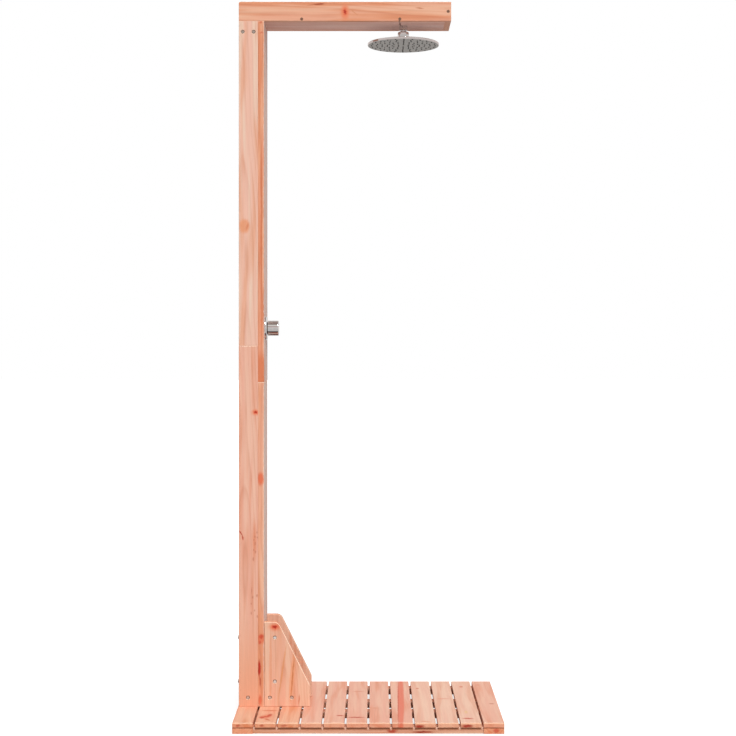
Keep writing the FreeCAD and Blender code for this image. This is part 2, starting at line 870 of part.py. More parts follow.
def valve_body():
    pipe = Vector(pipe_x, 0, valve_height)
    wall = Vector(channel_front_x, 0, valve_height)
    depth = channel_front_x - pipe_x
    neck = board_thickness + valve_neck_proud
    body = rod(valve_barrel_radius, pipe - UP * valve_barrel_reach, UP, 2 * valve_barrel_reach)
    body = body.fuse([rod(valve_neck_radius + valve_shoulder, pipe, FORWARD, depth),
                      rod(valve_neck_radius, wall, FORWARD, neck)])
    hollows = [rod(cartridge_radius + cartridge_clearance, pipe + FORWARD * cartridge_back, FORWARD,
                   depth - cartridge_back + neck)]
    for way in (UP, DOWN):
        passage = valve_barrel_reach - valve_web / 2
        hollows.append(socket(pipe + way * valve_barrel_reach, way))
        hollows.append(rod(waterway_radius, pipe + way * (valve_web / 2), way, passage))
        hollows.append(rod(port_radius, pipe + way * port_offset, FORWARD, cartridge_back))
    return tidy(body.cut(hollows).removeSplitter())


cartridge_start = cartridge_back - (channel_front_x - pipe_x)
cartridge_end = board_thickness + cartridge_proud
chamber_end = cartridge_start + cartridge_floor + chamber_length


def valve_cartridge():
    body = rod(cartridge_radius, Vector(0, 0, cartridge_start), UP, cartridge_end - cartridge_start)
    chamber = rod(spindle_foot_radius + spindle_chamber_clearance,
                  Vector(0, 0, cartridge_start + cartridge_floor), UP, chamber_length)
    bore = rod(spindle_radius + spindle_clearance, Vector(0, 0, chamber_end), UP,
               cartridge_end - chamber_end)
    ports = [rod(port_radius, Vector(side * port_offset, 0, cartridge_start), UP, cartridge_floor)
             for _, side in SIDES]
    return at_valve(tidy(body.cut([chamber, bore] + ports)))


def lock_nut():
    nut = hexagon(lock_nut_across_flats, lock_nut_thickness)
    nut = nut.cut(rod(valve_neck_radius + thread_clearance, Vector(), UP, lock_nut_thickness))
    nut.translate(Vector(0, 0, board_thickness))
    return at_valve(tidy(nut))


def escutcheon():
    """A shallow pressed cover over the lock nut, held on the cartridge."""
    top = board_thickness + escutcheon_height
    foot = board_thickness
    hole = cartridge_radius + escutcheon_fit
    wall = escutcheon_wall
    shoulder = escutcheon_radius - escutcheon_height
    cover = turned((hole, top), [
        (shoulder, top),
        ((escutcheon_radius, foot), -90),
        (escutcheon_radius - wall, foot),
        ((shoulder, top - wall), 90),
        (hole, top - wall)])
    return at_valve(tidy(cover))


knob_back = board_thickness + escutcheon_height + knob_gap
knob_front = knob_back + knob_length
hub_back = cartridge_end + knob_hub_gap


def spindle():
    """The shaft that the knob turns. The slot across its foot opens and shuts the ports."""
    foot_top = chamber_end - spindle_chamber_clearance
    foot = foot_top - spindle_foot_thickness
    body = rod(spindle_foot_radius, Vector(0, 0, foot), UP, spindle_foot_thickness)
    body = body.fuse(rod(spindle_radius, Vector(0, 0, foot_top), UP,
                         knob_front - knob_end - foot_top))
    slot = block((-spindle_slot_width / 2, spindle_slot_width / 2),
                 (-spindle_foot_radius, spindle_foot_radius), (foot, foot + spindle_foot_thickness / 2))
    return at_valve(tidy(body.removeSplitter().cut(slot)))


def grub_axis():
    return hub_back + grub_setback


def knob():
    """A turned cup with a hub for the spindle and a fine line across its face."""
    cup = turned((0, knob_front), [
        (knob_radius - knob_edge, knob_front),
        ((knob_radius, knob_front - knob_edge), -90),
        (knob_radius, knob_back + knob_chamfer),
        (knob_radius - knob_chamfer, knob_back),
        (knob_radius - knob_wall, knob_back),
        (knob_radius - knob_wall, knob_front - knob_end),
        (knob_hub_radius, knob_front - knob_end),
        (knob_hub_radius, hub_back),
        (spindle_radius + thread_clearance, hub_back),
        (spindle_radius + thread_clearance, knob_front - knob_end),
        (0, knob_front - knob_end)])
    grub_hole = rod(grub_radius + grub_clearance, Vector(spindle_radius, 0, grub_axis()), FORWARD,
                    knob_radius)
    line = block((-knob_radius, -knob_line_start), (-knob_line_width / 2, knob_line_width / 2),
                 (knob_front - knob_line_depth, knob_front))
    return at_valve(tidy(cup.cut([grub_hole, line])))


def grub_screw():
    length = knob_hub_radius - spindle_radius
    body = rod(grub_radius, Vector(spindle_radius, 0, grub_axis()), FORWARD, length)
    key = hexagon(grub_key_width, grub_key_depth)
    key = placed(key, Vector(knob_hub_radius - grub_key_depth, 0, grub_axis()), FORWARD)
    return at_valve(tidy(body.cut(key)))


def make_valve(parts):
    parts["valve_body"] = valve_body()
    parts["valve_cartridge"] = valve_cartridge()
    parts["valve_lock_nut"] = lock_nut()
    parts["escutcheon"] = escutcheon()
    parts["valve_spindle"] = spindle()
    parts["valve_knob"] = knob()
    parts["knob_grub_screw"] = grub_screw()


# ---- Ball joint and shower head, modelled about the ball's centre, then moved to it ----
def at_ball(shape):
    return placed(shape, Vector(head_x, 0, ball_z), UP)


def on_sphere(radius, height):
    """The point of a sphere's half section at a height."""
    return (math.sqrt(radius ** 2 - height ** 2), height)


def turn_on_sphere(radius, start, end):
    """The degrees that the half section turns left from one height to another."""
    return math.degrees(math.asin(end / radius) - math.asin(start / radius))


def ball_fitting():
    nut_bottom = ball_drop - ball_nut_height
    thread_bottom = ball_drop - nipple_length - nipple_end_gap
    body = Part.makeSphere(ball_radius).fuse([
        rod(ball_stem_radius, Vector(), UP, nut_bottom),
        turned((0, nut_bottom), [(ball_nut_radius - ball_nut_chamfer, nut_bottom),
                                 (ball_nut_radius, nut_bottom + ball_nut_chamfer),
                                 (ball_nut_radius, ball_drop), (0, ball_drop)])])
    body = body.cut([rod(nipple_radius + thread_clearance, Vector(0, 0, thread_bottom), UP,
                         ball_drop - thread_bottom),
                     rod(ball_bore, Vector(0, 0, -ball_radius), UP, ball_drop + ball_radius)])
    return at_ball(tidy(body.removeSplitter()))


def seat_ring():
    inner = ball_radius + ball_gap
    outer = inner + seat_ring_thickness
    low, high = seat_ring_low, seat_ring_high
    ring = turned(on_sphere(inner, low), [
        on_sphere(outer, low),
        (on_sphere(outer, high), turn_on_sphere(outer, low, high)),
        on_sphere(inner, high),
        (on_sphere(inner, low), turn_on_sphere(inner, high, low))])
    return at_ball(tidy(ring))


collar_seat_radius = ball_radius + 2 * ball_gap + seat_ring_thickness


def collar_nut():
    seat = collar_seat_radius
    mouth_height = math.sqrt(seat ** 2 - collar_mouth ** 2)
    nut = turned((neck_radius, collar_bottom), [
        (collar_radius - collar_taper, collar_bottom),
        (collar_radius, 0),
        (collar_radius, collar_top - collar_rounding),
        ((collar_radius - collar_rounding, collar_top), 90),
        (collar_mouth, collar_top),
        (collar_mouth, mouth_height),
        (on_sphere(seat, collar_shoulder), turn_on_sphere(seat, mouth_height, collar_shoulder)),
        (neck_radius, collar_shoulder)])
    return at_ball(tidy(nut))


def ball_seal():
    inner = ball_radius + ball_gap
    ring = turned((seal_radius - neck_clearance, seal_top), [
        (seal_radius - neck_clearance, seal_bottom),
        on_sphere(inner, seal_bottom),
        (on_sphere(inner, seal_top), turn_on_sphere(inner, seal_bottom, seal_top))])
    return at_ball(tidy(ring))


def head_shell():
    """Thin dished back with the neck that carries the seal and the collar's thread."""
    face = -head_drop
    rim = head_radius
    top = face + rim_height
    dome = face + dome_height
    wall = head_wall
    neck = neck_radius - neck_clearance
    neck_top = collar_shoulder - neck_top_gap
    dome_radius = neck + neck_fillet
    ledge_z = face + face_sink + face_thickness
    shell = turned((rim - wall, face), [
        (rim, face),
        (rim, top - rim_rounding),
        ((rim - rim_rounding, top), 90),
        ((dome_radius, dome), dome_turn),
        ((neck, dome + neck_fillet), -90),
        (neck, neck_top),
        (seal_radius, neck_top),
        (seal_radius, seal_bottom),
        (neck_bore, seal_bottom),
        (neck_bore, dome - wall),
        (dome_radius, dome - wall),
        ((rim - face_ledge, top - wall), -dome_turn),
        (rim - face_ledge, ledge_z),
        (rim - wall, ledge_z)])
    return at_ball(tidy(shell))


def nozzle_places():
    places = []
    for ring, count in enumerate(nozzle_ring_counts):
        radius = nozzle_first_ring + ring * nozzle_ring_pitch
        for i in range(count):
            angle = math.radians(90 + 360.0 * i / count)
            places.append(Vector(radius * math.cos(angle), radius * math.sin(angle), 0))
    return places


plate_back = -head_drop + face_sink + face_thickness


def face_plate():
    radius = head_radius - head_wall - face_clearance
    disc = rod(radius, Vector(0, 0, plate_back - face_thickness), UP, face_thickness)
    holes = [rod(nozzle_radius + nozzle_clearance, place + UP * (plate_back - face_thickness), UP,
                 face_thickness) for place in nozzle_places()]
    return at_ball(tidy(disc.cut(holes)))


def spray_nozzles():
    """Soft nozzles pushed through the face plate from inside."""
    front = -face_thickness
    nozzle = turned((nozzle_bore, nozzle_flange_thickness), [
        (nozzle_flange_radius, nozzle_flange_thickness),
        (nozzle_flange_radius, 0),
        (nozzle_radius, 0),
        (nozzle_radius, front),
        (nozzle_tip_radius, front - nozzle_length),
        (nozzle_bore, front - nozzle_length)])
    return at_ball(group([placed(nozzle, place + UP * plate_back, UP) for place in nozzle_places()]))


def make_head(parts):
    parts["ball_fitting"] = ball_fitting()
    parts["seat_ring"] = seat_ring()
    parts["collar_nut"] = collar_nut()
    parts["ball_seal"] = ball_seal()
    parts["head_shell"] = head_shell()
    parts["face_plate"] = face_plate()
    parts["spray_nozzles"] = spray_nozzles()


# ---- The whole shower ----
def build():
    parts = {}
    holes = bolt_holes() + slat_screw_holes() + board_screw_holes() + pan_screw_holes()
    make_deck(parts, holes)
    make_post(parts, holes)
    make_gussets(parts, holes)
    make_arm(parts, holes)
    parts["slat_screws"] = slat_screws()
    parts["board_screws"] = board_screws()
    parts["pan_screws"] = pan_screws()
    parts["barrel_nuts"] = barrel_nuts()
    parts["base_bolts"] = group([placed(bolt(bolt_length(base_bolt_run)), seat, UP)
                                 for seat in base_bolt_seats()])
    parts["gusset_bolts"] = group([placed(bolt(bolt_length(gusset_bolt_run)), seat, FORWARD)
                                   for seat in gusset_bolt_seats()])
    parts["arm_bolts"] = group([placed(bolt(bolt_length(arm_bolt_run)), seat, DOWN)
                                for seat in arm_bolt_seats()])
    make_pipes(parts)
    parts["pipe_clips"] = pipe_clips()
    make_valve(parts)
    make_head(parts)
    return parts


os.makedirs("parts", exist_ok=True)
for node, shape in build().items():
    shape.exportStep("parts/%s.step" % node)
    print("%-20s solids %3d  valid %s" % (node, len(shape.Solids), shape.isValid()))
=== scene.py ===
# Looks of an outdoor shower post: planed red softwood boards, chrome fittings and zinc plated bolts.
# Metres, in the frame's own axes: +X is the front of the shower, +Z is up, and the photographed
# side is the one at -Y. Values in mm are multiplied by MM where they are used.
import bpy
import math
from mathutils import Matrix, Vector


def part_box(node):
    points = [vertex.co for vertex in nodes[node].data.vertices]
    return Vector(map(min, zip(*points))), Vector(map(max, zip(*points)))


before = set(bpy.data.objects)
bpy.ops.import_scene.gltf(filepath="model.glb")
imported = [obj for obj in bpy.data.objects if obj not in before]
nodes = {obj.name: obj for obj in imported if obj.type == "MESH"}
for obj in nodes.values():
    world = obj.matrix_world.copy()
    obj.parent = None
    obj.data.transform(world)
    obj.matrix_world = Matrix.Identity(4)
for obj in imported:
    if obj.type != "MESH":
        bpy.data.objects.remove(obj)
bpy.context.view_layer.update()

MM = 0.001


# ---- Colour and node helpers ----
def linear(code):
    """A linear colour with alpha from an sRGB hex value."""
    def channel(text):
        value = int(text, 16) / 255
        return value / 12.92 if value <= 0.04045 else ((value + 0.055) / 1.055) ** 2.4
    return (channel(code[1:3]), channel(code[3:5]), channel(code[5:7]), 1.0)


def ramp(stops):
    """Stops of a colour ramp from places and sRGB hex values."""
    return [(position, linear(code)) for position, code in stops]


def new_material(name):
    material = bpy.data.materials.new(name)
    material.use_nodes = True
    material.node_tree.nodes.clear()
    return material


def add_node(tree, kind, inputs=None, stops=None, **settings):
    """Adds a node. An input that is given a socket is linked to it, and any other is set."""
    made = tree.nodes.new("ShaderNode" + kind)
    for key, value in settings.items():
        setattr(made, key, value)
    for key, value in (inputs or {}).items():
        if isinstance(value, bpy.types.NodeSocket):
            tree.links.new(value, made.inputs[key])
        else:
            made.inputs[key].default_value = value
    if stops:
        elements = made.color_ramp.elements
        while len(elements) < len(stops):
            elements.new(1.0)
        for element, (position, colour) in zip(elements, stops):
            element.position = position
            element.color = colour
    return made


def dress(names, material):
    for name in names:
        mesh = nodes[name].data
        mesh.materials.clear()
        mesh.materials.append(material)


def half_size(name):
    """How far a node's faces lie from its middle, in mm."""
    low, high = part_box(name)
    return (high - low) / 2 / MM


# ---- Camera, lights and stage ----
PHOTO_SIDE = 736.0               # the photograph's width and height in pixels
VANISHING = (371.85, 344.7)      # its vanishing point, in pixels
PIXELS_PER_UNIT = 1500.0         # pixels for a size equal to its distance
CAMERA_PLACE = Vector((0.010, -4.28, 1.0465))
CAMERA_REACH = 100.0
WORLD_LIGHT = 0.5
FLOOR_SIZE = 80.0
FLOOR_COLOUR = "#b4b4b4"
FLOOR_GLOW = 0.8                 # added where the camera sees the floor
SUN_FROM = Vector((1.2, -4.2, 4.7))
SUN_SPREAD = 12.0                # degrees: a wide softbox, so shadows have no edge
SUN_POWER = 2.5

# What polished metal sees of the studio, from the level of the eye to straight above: pale walls,
# a white strip light, and a darker ceiling.
STUDIO_BANDS = [(0.0, "#f4ece8"), (0.3, "#dcc8c3"), (0.58, "#c8b2ac"), (0.63, "#fffaf2"),
                (0.76, "#fffaf2"), (0.82, "#a8908a"), (1.0, "#948078")]
# White softboxes hang high at both sides. They begin where a direction leans this far aside and up.
SOFTBOX_EDGE = (0.3, 0.4)
# And what it sees of the floor, from the middle outwards: a red-brown middle, a painted reflection of
# the deck, with a dark border, then white. The steps are shares of the reach in metres.
FLOOR_BANDS = [(0.0, "#b4605a"), (0.24, "#b4605a"), (0.3, "#4a3836"), (0.46, "#54403e"),
               (0.6, "#ece4e0")]
FLOOR_BANDS_REACH = 2.0
FLOOR_BANDS_GLOW = 0.85


def make_camera():
    data = bpy.data.cameras.new("camera")
    camera = bpy.data.objects.new("camera", data)
    bpy.context.scene.collection.objects.link(camera)
    camera.location = CAMERA_PLACE
    camera.rotation_euler = (math.radians(90), 0, 0)
    data.sensor_width = 36.0
    data.lens = data.sensor_width * PIXELS_PER_UNIT / PHOTO_SIDE
    data.shift_x = (PHOTO_SIDE / 2 - VANISHING[0]) / PHOTO_SIDE
    data.shift_y = (VANISHING[1] - PHOTO_SIDE / 2) / PHOTO_SIDE
    data.clip_end = CAMERA_REACH
    bpy.context.scene.camera = camera


def seen_directly(tree, path):
    """1 for what the camera sees itself or through something clear, else 0."""
    return add_node(tree, "Math", {0: path.outputs["Is Camera Ray"],
                                   1: path.outputs["Is Transmission Ray"]},
                    operation="MAXIMUM").outputs[0]


def make_world():
    """White to the camera, a pale studio with soft bands to metal, and dimmer as a light."""
    world = bpy.data.worlds.new("studio")
    bpy.context.scene.world = world
    world.use_nodes = True
    tree = world.node_tree
    tree.nodes.clear()
    path = add_node(tree, "LightPath")
    towards = add_node(tree, "SeparateXYZ", {0: add_node(tree, "TexCoord").outputs["Generated"]})
    bands = add_node(tree, "ValToRGB", {0: towards.outputs["Z"]}, stops=ramp(STUDIO_BANDS))
    aside = add_node(tree, "Math", {0: towards.outputs["X"]}, operation="ABSOLUTE").outputs[0]
    start, full = SOFTBOX_EDGE
    beside = add_node(tree, "MapRange", {0: aside, 1: start, 2: full})
    high = add_node(tree, "MapRange", {0: towards.outputs["Z"], 1: start, 2: full})
    softbox = add_node(tree, "Math", {0: beside.outputs[0], 1: high.outputs[0]}, operation="MULTIPLY")
    studio = add_node(tree, "Mix", {0: softbox.outputs[0], 6: bands.outputs[0], 7: linear("#ffffff")},
                      data_type="RGBA")
    lit = add_node(tree, "Background", {"Color": linear("#ffffff"), "Strength": WORLD_LIGHT})
    seen = add_node(tree, "Background", {"Color": linear("#ffffff"), "Strength": 1.0})
    mirrored = add_node(tree, "Background", {"Color": studio.outputs[2], "Strength": 1.0})
    mix = add_node(tree, "MixShader", {0: path.outputs["Is Glossy Ray"], 1: lit.outputs[0],
                                       2: mirrored.outputs[0]})
    mix = add_node(tree, "MixShader", {0: seen_directly(tree, path), 1: mix.outputs[0],
                                       2: seen.outputs[0]})
    add_node(tree, "OutputWorld", {"Surface": mix.outputs[0]})


def make_floor():
    """A pale floor that looks white and keeps the object's shadow."""
    bpy.ops.object.select_all(action="DESELECT")
    bpy.ops.mesh.primitive_plane_add(size=FLOOR_SIZE, location=(0, 0, 0))
    floor = bpy.context.object
    floor.name = "floor"
    material = new_material("white_studio_floor")
    tree = material.node_tree
    path = add_node(tree, "LightPath")
    glow = add_node(tree, "Math", {0: seen_directly(tree, path), 1: FLOOR_GLOW}, operation="MULTIPLY")
    matte = add_node(tree, "BsdfDiffuse", {"Color": linear(FLOOR_COLOUR)})
    shine = add_node(tree, "Emission", {"Color": linear("#ffffff"), "Strength": glow.outputs[0]})
    both = add_node(tree, "AddShader", {0: matte.outputs[0], 1: shine.outputs[0]})
    place = add_node(tree, "TexCoord").outputs["Object"]
    distance = add_node(tree, "VectorMath", {0: place}, operation="LENGTH")
    share = add_node(tree, "Math", {0: distance.outputs["Value"], 1: FLOOR_BANDS_REACH},
                     operation="DIVIDE", use_clamp=True)
    bands = add_node(tree, "ValToRGB", {0: share.outputs[0]}, stops=ramp(FLOOR_BANDS))
    mirrored = add_node(tree, "Emission", {"Color": bands.outputs[0], "Strength": FLOOR_BANDS_GLOW})
    mix = add_node(tree, "MixShader", {0: path.outputs["Is Glossy Ray"], 1: both.outputs[0],
                                       2: mirrored.outputs[0]})
    add_node(tree, "OutputMaterial", {"Surface": mix.outputs[0]})
    floor.data.materials.append(material)


def make_key_light():
    """A wide, distant softbox, high at the front on the camera's side."""
    data = bpy.data.lights.new("key_softbox", "SUN")
    data.energy = SUN_POWER
    data.angle = math.radians(SUN_SPREAD)
    lamp = bpy.data.objects.new("key_softbox", data)
    bpy.context.scene.collection.objects.link(lamp)
    lamp.location = SUN_FROM
    lamp.rotation_euler = (-SUN_FROM).to_track_quat("-Z", "Y").to_euler()


def make_stage():
    bpy.context.scene.view_settings.view_transform = "Standard"
    make_world()
    make_floor()
    make_key_light()


# ---- Wood ----
# Planed, untreated softwood with red heartwood. Each board has its own figure: a place of the pith,
# tones, and a list of knots and stains. A place on a board is (along, across, through) in mm from
# the board's middle, towards the frame's positive axes.
AXES = {"X": 0, "Y": 1, "Z": 2}

# Sizes of the figure in mm, along and across the fibres.
WANDER = (417, 167)             # a slow wander of the fibres
WANDER_REACH = (0, 30, 30)      # and how far it takes them
BANDS = (417, 16.1)             # bands of cream and pink wood
HEARTWOOD = (333, 26.3)         # broader patches of orange heartwood
RAGGED = (12.5, 3.85)           # the ragged outline of a mark
RAGGED_REACH = (8, 4, 4)        # and how far it strays
FIBRES = (83.3, 1.11)           # fine fibres, drawn at 1 mm so that they show at all
FIBRE_DEPTH = 0.15
WAVE_PERIOD = 314.16            # ring spacing of a wave texture at scale 1
THROUGH = 60                    # reach that takes a mark right through any board
ALL_OVER = 2000                 # and one that takes it over a whole face

# Tones of one board: cream sapwood, pink, orange heartwood, and late wood lines.
CREAM = ("#eac8b2", "#eab9a4", "#e4a586", "#cf8e70")
PINK = ("#eab8a0", "#e7ad96", "#e29c80", "#cc8468")
SALMON = ("#eab495", "#e6a688", "#de9068", "#c67350")
ORANGE = ("#e8a986", "#e49a78", "#da825a", "#be663e")
# Painted bounce light: paler, greyer tones for the arm's floor, seen from below, that stand in for the
# cool light the white floor throws up.
GREY_PINK_PAINTED_BOUNCE = ("#f2c8ba", "#eebeb0", "#e6ae9a", "#cc9684")
TAN = ("#eabb9f", "#e7ae93", "#df9a78", "#c87d58")
PALE = ("#ecc2aa", "#eab9a2", "#e4ab90", "#cf9074")
# Painted highlight: the colour given to the eased upper edges of the boards, as if lit from above.
EDGE_HIGHLIGHT_COLOUR = "#ffdcc2"
SAWN_END = "#fde5d4"            # multiplies the tones, so an end is a little darker and redder


def board_space(tree, board, along, across):
    """Object coordinates from the board's middle, turned so that X runs along it and Y across it."""
    low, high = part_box(board)
    middle = (low + high) / 2
    through = ({"X", "Y", "Z"} - {along, across}).pop()
    place = add_node(tree, "TexCoord").outputs["Object"]
    split = add_node(tree, "SeparateXYZ", {0: place})
    turned = add_node(tree, "CombineXYZ", {0: split.outputs[along], 1: split.outputs[across],
                                           2: split.outputs[through]})
    centre = [middle[AXES[axis]] for axis in (along, across, through)]
    return add_node(tree, "VectorMath", {0: turned.outputs[0], 1: centre},
                    operation="SUBTRACT").outputs[0]


def drawn_out_noise(tree, place, size, start=(0, 0, 0), detail=2.0, roughness=0.5):
    """A pattern drawn out along the fibres, of a size in mm along and across them."""
    along, across = size
    spot = add_node(tree, "Mapping", {"Vector": place, "Location": start,
                                      "Scale": (1 / (along * MM), 1 / (across * MM), 1 / (across * MM))})
    return add_node(tree, "TexNoise", {"Vector": spot.outputs[0], "Scale": 1.0, "Detail": detail,
                                       "Roughness": roughness})


def pushed_about(tree, place, noise, reach):
    """Places moved by a noise, over a reach in mm."""
    swing = add_node(tree, "VectorMath", {0: noise.outputs["Color"], 1: (0.5, 0.5, 0.5)},
                     operation="SUBTRACT")
    return add_node(tree, "VectorMath", {0: swing.outputs[0], 1: [value * MM for value in reach],
                                         2: place}, operation="MULTIPLY_ADD").outputs[0]


def wood_tones(tree, grain, tones, seed):
    """The colour of a board, and how much heartwood there is at each place."""
    cream, pink, orange = (linear(code) for code in tones)
    bands = drawn_out_noise(tree, grain, BANDS, (seed * 5.3, seed, seed * 2.9), roughness=0.45)
    tone = add_node(tree, "MapRange", {0: bands.outputs["Fac"], 1: 0.38, 2: 0.62},
                    interpolation_type="SMOOTHSTEP")
    colour = add_node(tree, "Mix", {0: tone.outputs[0], 6: cream, 7: pink}, data_type="RGBA").outputs[2]
    heart = drawn_out_noise(tree, grain, HEARTWOOD, (seed * 2.3, seed * 4.1, seed)).outputs["Fac"]
    heart_mask = add_node(tree, "MapRange", {0: heart, 1: 0.48, 2: 0.68, 4: 0.85},
                          interpolation_type="SMOOTHSTEP")
    colour = add_node(tree, "Mix", {0: heart_mask.outputs[0], 6: colour, 7: orange},
                      data_type="RGBA").outputs[2]
    return colour, heart


def growth_rings(tree, grain, pith, run_out, ring):
    """Late wood about a pith that lies outside the board, seen as lines and long arches."""
    ring_place = add_node(tree, "Mapping", {
        "Vector": grain, "Location": (0, pith[0] * MM, pith[1] * MM),
        "Rotation": (0, math.radians(run_out * 0.6), math.radians(run_out))})
    rings = add_node(tree, "TexWave", {"Vector": ring_place.outputs[0], "Scale": WAVE_PERIOD / ring},
                     wave_type="RINGS", rings_direction="X", wave_profile="SAW")
    return add_node(tree, "ValToRGB", {0: rings.outputs["Fac"]}, stops=[
        (0.0, (0, 0, 0, 1)), (0.5, (0.12, 0.12, 0.12, 1)), (0.86, (1, 1, 1, 1)),
        (1.0, (0.05, 0.05, 0.05, 1))]).outputs[0]


def mark(along, across, reach, colour, strength=1.0, core=0.3, tilt=0.0, through=0.0):
    """A knot or stain: an ellipsoid that is full to its core, a share of its reach, and fades to it.

    A reach of two values goes right through the board. The tilt is in degrees."""
    reach = tuple(reach) if len(reach) == 3 else tuple(reach) + (THROUGH,)
    return {"place": (along, across, through), "reach": reach, "colour": colour, "strength": strength,
            "core": core, "tilt": tilt}


def red_knot(along, across, size):
    """A small live knot: dark red heart, red ring, and a reddish halo."""
    length, width = size
    return [mark(along, across, (length, width), "#e6865f", 0.8, 0.25),
            mark(along, across, (length * 0.6, width * 0.6), "#dc5f3e", 0.85, 0.3),
            mark(along, across, (length * 0.32, width * 0.32), "#b02a16", 0.95, 0.35)]


def with_marks(tree, place, colour, marks):
    """A board's colour with its knots and stains, whose outlines are ragged along the fibres."""
    ragged = drawn_out_noise(tree, place, RAGGED, detail=3.0)
    place = pushed_about(tree, place, ragged, RAGGED_REACH)
    for item in marks:
        local = add_node(tree, "Mapping", {
            "Vector": place, "Location": [value * MM for value in item["place"]],
            "Rotation": (0, 0, math.radians(item["tilt"])),
            "Scale": [value * MM for value in item["reach"]]}, vector_type="TEXTURE")
        distance = add_node(tree, "VectorMath", {0: local.outputs[0]}, operation="LENGTH")
        mask = add_node(tree, "MapRange", {0: distance.outputs["Value"], 1: 1.0, 2: item["core"],
                                           4: item["strength"]}, interpolation_type="SMOOTHSTEP")
        colour = add_node(tree, "Mix", {0: mask.outputs[0], 6: colour, 7: linear(item["colour"])},
                          data_type="RGBA").outputs[2]
    return colour


def with_lit_edges_and_sawn_ends(tree, colour, along, edge_highlight):
    """A board's colour with a highlight painted on the eased upper edges of its side faces, and sawn
    ends.
    """
    facing = add_node(tree, "SeparateXYZ", {0: add_node(tree, "TexCoord").outputs["Normal"]})
    sideways = add_node(tree, "Math", {0: facing.outputs["Y"]}, operation="ABSOLUTE")
    onset = add_node(tree, "MapRange", {0: sideways.outputs[0], 1: 0.15, 2: 0.4})
    release = add_node(tree, "MapRange", {0: sideways.outputs[0], 1: 0.97, 2: 0.85})
    upward = add_node(tree, "MapRange", {0: facing.outputs["Z"], 1: 0.02, 2: 0.2, 4: edge_highlight})
    lit_edge = add_node(tree, "Math", {0: onset.outputs[0], 1: release.outputs[0]}, operation="MULTIPLY")
    lit_edge = add_node(tree, "Math", {0: lit_edge.outputs[0], 1: upward.outputs[0]}, operation="MULTIPLY")
    colour = add_node(tree, "Mix", {0: lit_edge.outputs[0], 6: colour, 7: linear(EDGE_HIGHLIGHT_COLOUR)},
                      data_type="RGBA").outputs[2]
    end = add_node(tree, "Math", {0: facing.outputs[along]}, operation="ABSOLUTE")
    end = add_node(tree, "MapRange", {0: end.outputs[0], 1: 0.6, 2: 0.95})
    return add_node(tree, "Mix", {0: end.outputs[0], 6: colour, 7: linear(SAWN_END)}, data_type="RGBA",
                    blend_type="MULTIPLY").outputs[2]


def planed_fir(board, along, across, tones, seed, pith=(12, -24), run_out=1.6, ring=7.0, ring_depth=0.5,
               marks=(), shade=1.0, edge_highlight=1.0):
    """Untreated fir, planed: bands of cream, pink and orange, darker late wood lines, no gloss.

    The pith's place and the rings' spacing are in mm, and run_out is the slope of the rings in degrees.
    Shade darkens the whole board, and edge_highlight is how strongly its upper edges get a painted
    highlight."""
    material = new_material("planed_fir_" + board)
    tree = material.node_tree
    place = board_space(tree, board, along, across)
    wander = drawn_out_noise(tree, place, WANDER, (seed, seed * 3.1, seed * 1.7), roughness=0.4)
    grain = pushed_about(tree, place, wander, WANDER_REACH)
    *broad_tones, late_wood = tones
    colour, heart = wood_tones(tree, grain, broad_tones, seed)

    # Rings are faint where the board is pale and stronger where it is warm.
    late = growth_rings(tree, grain, pith, run_out, ring)
    depth = add_node(tree, "MapRange", {0: heart, 1: 0.36, 2: 0.64, 3: ring_depth * 0.25, 4: ring_depth})
    ring_mask = add_node(tree, "Math", {0: late, 1: depth.outputs[0]}, operation="MULTIPLY")
    colour = add_node(tree, "Mix", {0: ring_mask.outputs[0], 6: colour, 7: linear(late_wood)},
                      data_type="RGBA").outputs[2]

    colour = with_marks(tree, place, colour, marks)
    fibres = drawn_out_noise(tree, place, FIBRES, detail=3.0, roughness=0.6).outputs["Fac"]
    fleck = add_node(tree, "MapRange", {0: fibres, 1: 0.3, 2: 0.7, 3: 0.94 * shade, 4: 1.05 * shade})
    colour = add_node(tree, "Mix", {0: 1.0, 6: colour, 7: fleck.outputs[0]}, data_type="RGBA",
                      blend_type="MULTIPLY").outputs[2]
    colour = with_lit_edges_and_sawn_ends(tree, colour, along, edge_highlight)

    bump = add_node(tree, "Bump", {"Height": fibres, "Strength": 0.2, "Distance": FIBRE_DEPTH * MM})
    rough = add_node(tree, "MapRange", {0: late, 3: 0.62, 4: 0.54})
    surface = add_node(tree, "BsdfPrincipled", {"Base Color": colour, "Roughness": rough.outputs[0],
                                                "Normal": bump.outputs[0], "IOR": 1.5,
                                                "Specular IOR Level": 0.3})
    add_node(tree, "OutputMaterial", {"Surface": surface.outputs[0]})
    return material


# ---- The boards of the deck ----
SLAT_FRONT = -half_size("slat_01").y             # the photographed end of the slats
SLAT_TOP = half_size("slat_01").z
BATTEN_FRONT = -half_size("batten_outer_left").y
UNDERFRAME_TOP = half_size("batten_outer_left").z
SLAT_PITCH = (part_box("slat_02")[0].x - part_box("slat_01")[0].x) / MM

